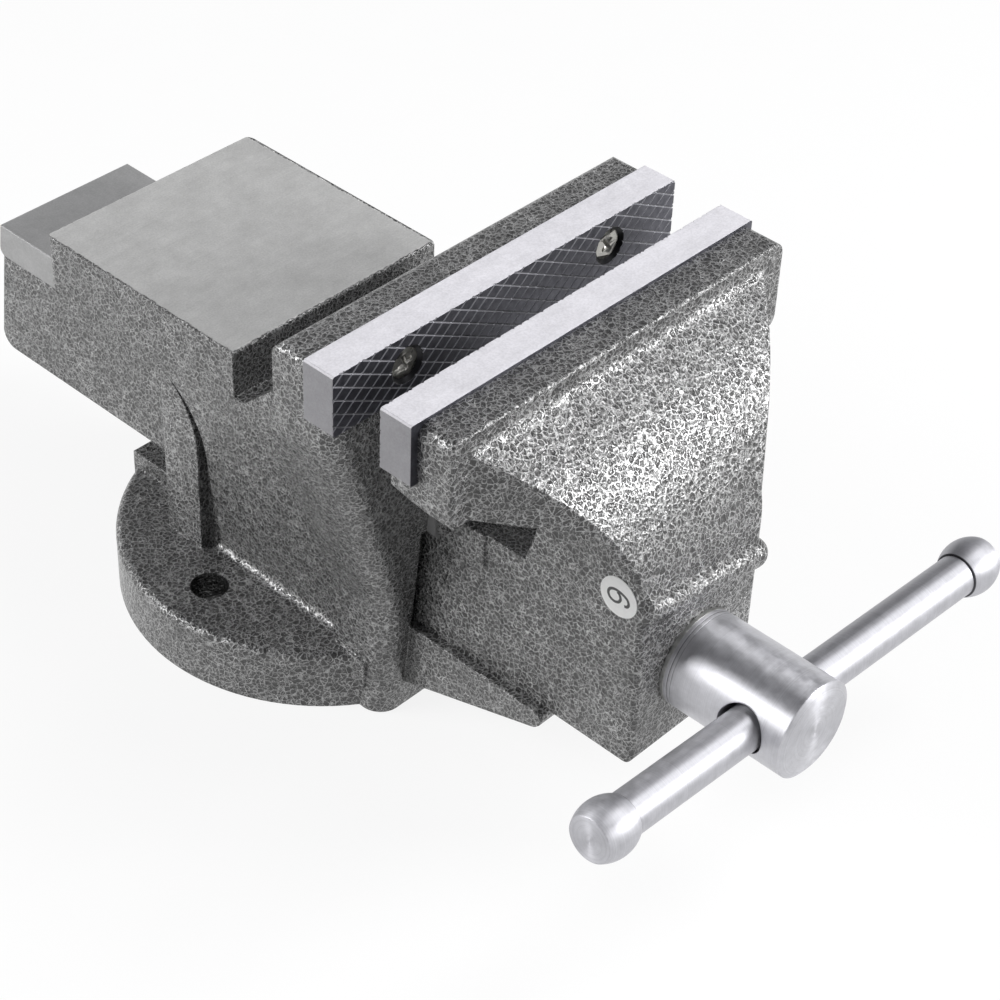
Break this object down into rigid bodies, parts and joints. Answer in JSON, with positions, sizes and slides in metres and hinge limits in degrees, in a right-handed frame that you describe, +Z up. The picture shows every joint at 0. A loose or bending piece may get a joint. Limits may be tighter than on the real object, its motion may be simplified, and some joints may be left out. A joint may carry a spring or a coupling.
{
  "type": "bench vise",
  "caption": "Bench vise with a round bolt-down base, an anvil, hardened jaw plates, and a front jaw on a sliding bar driven by a screw with a sliding tommy bar.",
  "frame": {"origin": "centre of the round base, on the face that stands on the bench", "axes": "+Z up, -Y towards the user and the handle, +X to the user's right"},
  "size_m": [0.196, 0.3559, 0.1684],
  "materials": {
    "casting": "dark grey hammered enamel, bare milled steel grey on the anvil and the rails",
    "jaw_plate": "ground, with a crosshatched gripping face",
    "plate_screw": "zinc plated",
    "nut": "as cast",
    "fastener": "zinc plated",
    "sticker": "printed film",
    "spindle": "turned",
    "spring": "oiled spring wire",
    "handle": "turned and polished"
  },
  "bodies": {
    "fixed_jaw": {"fixed_jaw_body": "casting", "fixed_jaw_plate": "jaw_plate", "fixed_plate_screws": "plate_screw", "spindle_nut": "nut", "nut_bolt": "fastener", "nut_washer": "fastener"},
    "moving_jaw": {"moving_jaw_body": "casting", "moving_jaw_plate": "jaw_plate", "moving_plate_screws": "plate_screw", "size_sticker": "sticker"},
    "screw": {"spindle": "spindle", "thrust_washer": "fastener", "return_spring": "spring", "spring_washer": "fastener", "split_pin": "fastener"},
    "handle": {"handle_bar": "handle", "handle_knob_left": "handle", "handle_knob_right": "handle"}
  },
  "joints": [
    {"name": "jaw_slide", "type": "slide", "parent": "fixed_jaw", "child": "moving_jaw", "axis": [0, -1, 0], "range_m": [-0.0191, 0.1201]},
    {"name": "spindle_turn", "type": "hinge", "parent": "moving_jaw", "child": "screw", "pos_m": [0, -0.19, 0.0661], "axis": [0, -1, 0], "range_deg": [-1368, 8640]},
    {"name": "handle_slide", "type": "slide", "parent": "screw", "child": "handle", "axis": [0.9981, 0, -0.061], "range_m": [-0.079, 0.053]}
  ],
  "couplings": [
    {"joint": "jaw_slide", "follows": "spindle_turn", "m_per_rad": 0.00079577}
  ]
}
